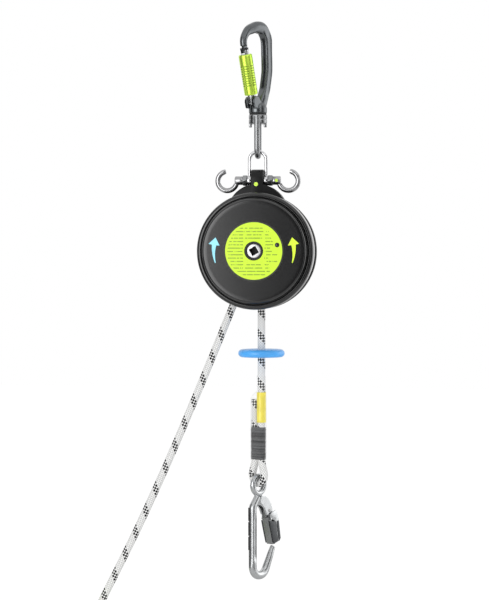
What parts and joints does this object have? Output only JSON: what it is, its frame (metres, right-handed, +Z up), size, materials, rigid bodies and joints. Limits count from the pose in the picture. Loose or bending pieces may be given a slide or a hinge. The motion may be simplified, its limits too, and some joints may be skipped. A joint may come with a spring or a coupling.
{
  "type": "descent device",
  "caption": "Two-way controlled descent device: rope over a braked sheave in a round housing under a swivel karabiner, with a snap hook on each rope end.",
  "frame": {"origin": "inner top of the karabiner, where it bears on its anchor", "axes": "+Z up the hanging device, +X to the right seen from the hand drive, +Y from the front cover towards the rear cover"},
  "size_m": [0.4252, 0.0823, 1.0162],
  "materials": {
    "karabiner_grey": "dark grey anodised, satin",
    "bright_alloy": "polished",
    "bright_steel": "bright, fine brushed",
    "grey_steel": "dull grey",
    "black_washer": "matt",
    "lime_anodised": "lime anodised, satin",
    "black_housing": "black, fine texture",
    "black_seal": "matt",
    "lime_label": null,
    "blue_arrow": "printed film",
    "lime_arrow": "printed film",
    "bronze": "plain",
    "gear_steel": "oiled",
    "brake_lining": "friction lining",
    "ivory_plastic": "matt",
    "white_rope": "braided, black tracers",
    "blue_plastic": "moulded",
    "lime_plastic": "moulded",
    "clear_film": "clear shrink sleeve",
    "dark_thread": "wound thread",
    "yellow_film": "bare label",
    "dark_lever": "moulded"
  },
  "bodies": {
    "karabiner": {"karabiner_body": "karabiner_grey", "gate_pivot_pin": "bright_steel"},
    "gate": {"karabiner_gate": "bright_alloy"},
    "sleeve_ring": {"sleeve_detent_ring": "grey_steel"},
    "sleeve": {"gate_sleeve": "lime_anodised"},
    "swivel": {"swivel_bolt": "bright_steel", "swivel_washer": "black_washer", "swivel_head": "karabiner_grey", "link_bow": "grey_steel"},
    "bow": {"bow_shackle": "bright_steel"},
    "housing": {"load_plate": "black_housing", "front_cover": "black_housing", "rear_cover": "black_housing", "cover_screws": "grey_steel", "shackle_pin": "bright_steel", "pin_nuts": "grey_steel", "horn_left": "bright_steel", "horn_right": "bright_steel", "seal_screws": "lime_plastic", "rating_label": "lime_label", "arrow_blue": "blue_arrow", "arrow_lime": "lime_arrow", "shaft_seal": "black_seal", "shaft_bushes": "bronze", "rope_guide": "black_washer", "roller_pins": "gear_steel", "ring_gear": "gear_steel", "brake_drum": "gear_steel", "rope_run": "white_rope", "right_rope": "white_rope", "left_rope": "white_rope", "right_eye": "white_rope", "left_eye": "white_rope", "right_sleeve_clear": "clear_film", "left_sleeve_clear": "clear_film", "right_whipping": "dark_thread", "left_whipping": "dark_thread", "right_rope_label": "yellow_film", "left_rope_label": "yellow_film"},
    "shaft": {"main_shaft": "bright_steel", "rope_sheave": "bright_alloy", "planet_carrier": "gear_steel"},
    "planet_a": {"planet_1": "gear_steel"},
    "planet_b": {"planet_2": "gear_steel"},
    "planet_c": {"planet_3": "gear_steel"},
    "brake_rotor": {"sun_gear": "gear_steel", "brake_hub": "gear_steel"},
    "shoe_a": {"brake_shoe_1": "brake_lining"},
    "shoe_b": {"brake_shoe_2": "brake_lining"},
    "shoe_c": {"brake_shoe_3": "brake_lining"},
    "roller_left": {"guide_roller_left": "ivory_plastic"},
    "roller_right": {"guide_roller_right": "ivory_plastic"},
    "stopper_right": {"stopper_blue": "blue_plastic"},
    "stopper_left": {"stopper_lime": "lime_plastic"},
    "right_hook": {"right_hook_body": "bright_alloy"},
    "right_gate": {"right_hook_gate": "grey_steel"},
    "right_lever": {"right_hook_lever": "dark_lever"},
    "left_hook": {"left_hook_body": "bright_alloy"},
    "left_gate": {"left_hook_gate": "grey_steel"},
    "left_lever": {"left_hook_lever": "dark_lever"}
  },
  "joints": [
    {"name": "gate_open", "type": "hinge", "parent": "karabiner", "child": "gate", "pos_m": [-0.00599, -0.00923, -0.084], "axis": [-0.8387, 0.5446, 0], "range_deg": [0, 22], "stiffness_Nm_per_rad": 0.3, "springref_deg": -17.19},
    {"name": "sleeve_lift", "type": "slide", "parent": "gate", "child": "sleeve_ring", "axis": [-0.1299, -0.2001, 0.9711], "range_m": [0, 0.006]},
    {"name": "sleeve_twist", "type": "hinge", "parent": "sleeve_ring", "child": "sleeve", "pos_m": [-0.00599, -0.00923, -0.084], "axis": [-0.1299, -0.2001, 0.9711], "range_deg": [0, 90]},
    {"name": "swivel_turn", "type": "hinge", "parent": "karabiner", "child": "swivel", "pos_m": [0, 0, -0.09], "axis": [0, 0, 1], "continuous": true},
    {"name": "bow_sway", "type": "hinge", "parent": "swivel", "child": "bow", "pos_m": [0, 0, -0.1525], "axis": [0, 1, 0], "range_deg": [-25, 25]},
    {"name": "housing_tilt", "type": "hinge", "parent": "bow", "child": "housing", "pos_m": [0, 0, -0.1831], "axis": [1, 0, 0], "range_deg": [-60, 60]},
    {"name": "shaft_turn", "type": "hinge", "parent": "housing", "child": "shaft", "pos_m": [0, 0, -0.272], "axis": [0, 1, 0], "continuous": true},
    {"name": "planet_a_turn", "type": "hinge", "parent": "shaft", "child": "planet_a", "pos_m": [0, 0, -0.242], "axis": [0, 1, 0], "continuous": true},
    {"name": "planet_b_turn", "type": "hinge", "parent": "shaft", "child": "planet_b", "pos_m": [-0.02598, 0, -0.287], "axis": [0, 1, 0], "continuous": true},
    {"name": "planet_c_turn", "type": "hinge", "parent": "shaft", "child": "planet_c", "pos_m": [0.02598, 0, -0.287], "axis": [0, 1, 0], "continuous": true},
    {"name": "brake_turn", "type": "hinge", "parent": "housing", "child": "brake_rotor", "pos_m": [0, 0, -0.272], "axis": [0, 1, 0], "continuous": true},
    {"name": "shoe_a_swing", "type": "hinge", "parent": "brake_rotor", "child": "shoe_a", "pos_m": [0, 0, -0.22555], "axis": [0, 1, 0], "range_deg": [0, 2.2], "stiffness_Nm_per_rad": 5, "springref_deg": -5.73},
    {"name": "shoe_b_swing", "type": "hinge", "parent": "brake_rotor", "child": "shoe_b", "pos_m": [-0.04023, 0, -0.29523], "axis": [0, 1, 0], "range_deg": [0, 2.2], "stiffness_Nm_per_rad": 5, "springref_deg": -5.73},
    {"name": "shoe_c_swing", "type": "hinge", "parent": "brake_rotor", "child": "shoe_c", "pos_m": [0.04023, 0, -0.29523], "axis": [0, 1, 0], "range_deg": [0, 2.2], "stiffness_Nm_per_rad": 5, "springref_deg": -5.73},
    {"name": "roller_left_turn", "type": "hinge", "parent": "housing", "child": "roller_left", "pos_m": [-0.0288, 0, -0.305], "axis": [0, 1, 0], "continuous": true},
    {"name": "roller_right_turn", "type": "hinge", "parent": "housing", "child": "roller_right", "pos_m": [0.0153, 0, -0.309], "axis": [0, 1, 0], "continuous": true},
    {"name": "stopper_right_slide", "type": "slide", "parent": "housing", "child": "stopper_right", "axis": [0, 0, 1], "range_m": [-0.022, 0.05]},
    {"name": "stopper_left_slide", "type": "slide", "parent": "housing", "child": "stopper_left", "axis": [0.4509, 0, 0.8926], "range_m": [-0.02, 0.05]},
    {"name": "right_hook_swing", "type": "hinge", "parent": "housing", "child": "right_hook", "pos_m": [0.00034, 0.0026, -0.5647], "axis": [-0.848, 0.5299, 0], "range_deg": [-60, 60]},
    {"name": "right_gate_open", "type": "hinge", "parent": "right_hook", "child": "right_gate", "pos_m": [0.00882, 0.01616, -0.6], "axis": [-0.848, 0.5299, 0], "range_deg": [0, 25], "stiffness_Nm_per_rad": 0.3, "springref_deg": -17.19},
    {"name": "right_lever_press", "type": "hinge", "parent": "right_gate", "child": "right_lever", "pos_m": [0.00935, 0.01701, -0.6112], "axis": [-0.848, 0.5299, 0], "range_deg": [0, 7]},
    {"name": "left_hook_swing", "type": "hinge", "parent": "housing", "child": "left_hook", "pos_m": [-0.29136, 0.0026, -0.88809], "axis": [-0.757, 0.5299, 0.3824], "range_deg": [-60, 60]},
    {"name": "left_gate_open", "type": "hinge", "parent": "left_hook", "child": "left_gate", "pos_m": [-0.29971, 0.01616, -0.92342], "axis": [-0.757, 0.5299, 0.3824], "range_deg": [0, 25], "stiffness_Nm_per_rad": 0.3, "springref_deg": -17.19},
    {"name": "left_lever_press", "type": "hinge", "parent": "left_gate", "child": "left_lever", "pos_m": [-0.30429, 0.01701, -0.93365], "axis": [-0.757, 0.5299, 0.3824], "range_deg": [0, 7]}
  ],
  "couplings": [
    {"joint": "planet_a_turn", "follows": "shaft_turn", "ratio": -3},
    {"joint": "planet_b_turn", "follows": "shaft_turn", "ratio": -3},
    {"joint": "planet_c_turn", "follows": "shaft_turn", "ratio": -3},
    {"joint": "brake_turn", "follows": "shaft_turn", "ratio": 4},
    {"joint": "roller_left_turn", "follows": "shaft_turn", "ratio": -2.3148},
    {"joint": "roller_right_turn", "follows": "shaft_turn", "ratio": -2.3148},
    {"joint": "shoe_b_swing", "follows": "shoe_a_swing", "ratio": 1},
    {"joint": "shoe_c_swing", "follows": "shoe_a_swing", "ratio": 1},
    {"joint": "right_lever_press", "follows": "right_gate_open", "ratio": 0.25},
    {"joint": "left_lever_press", "follows": "left_gate_open", "ratio": 0.25}
  ]
}
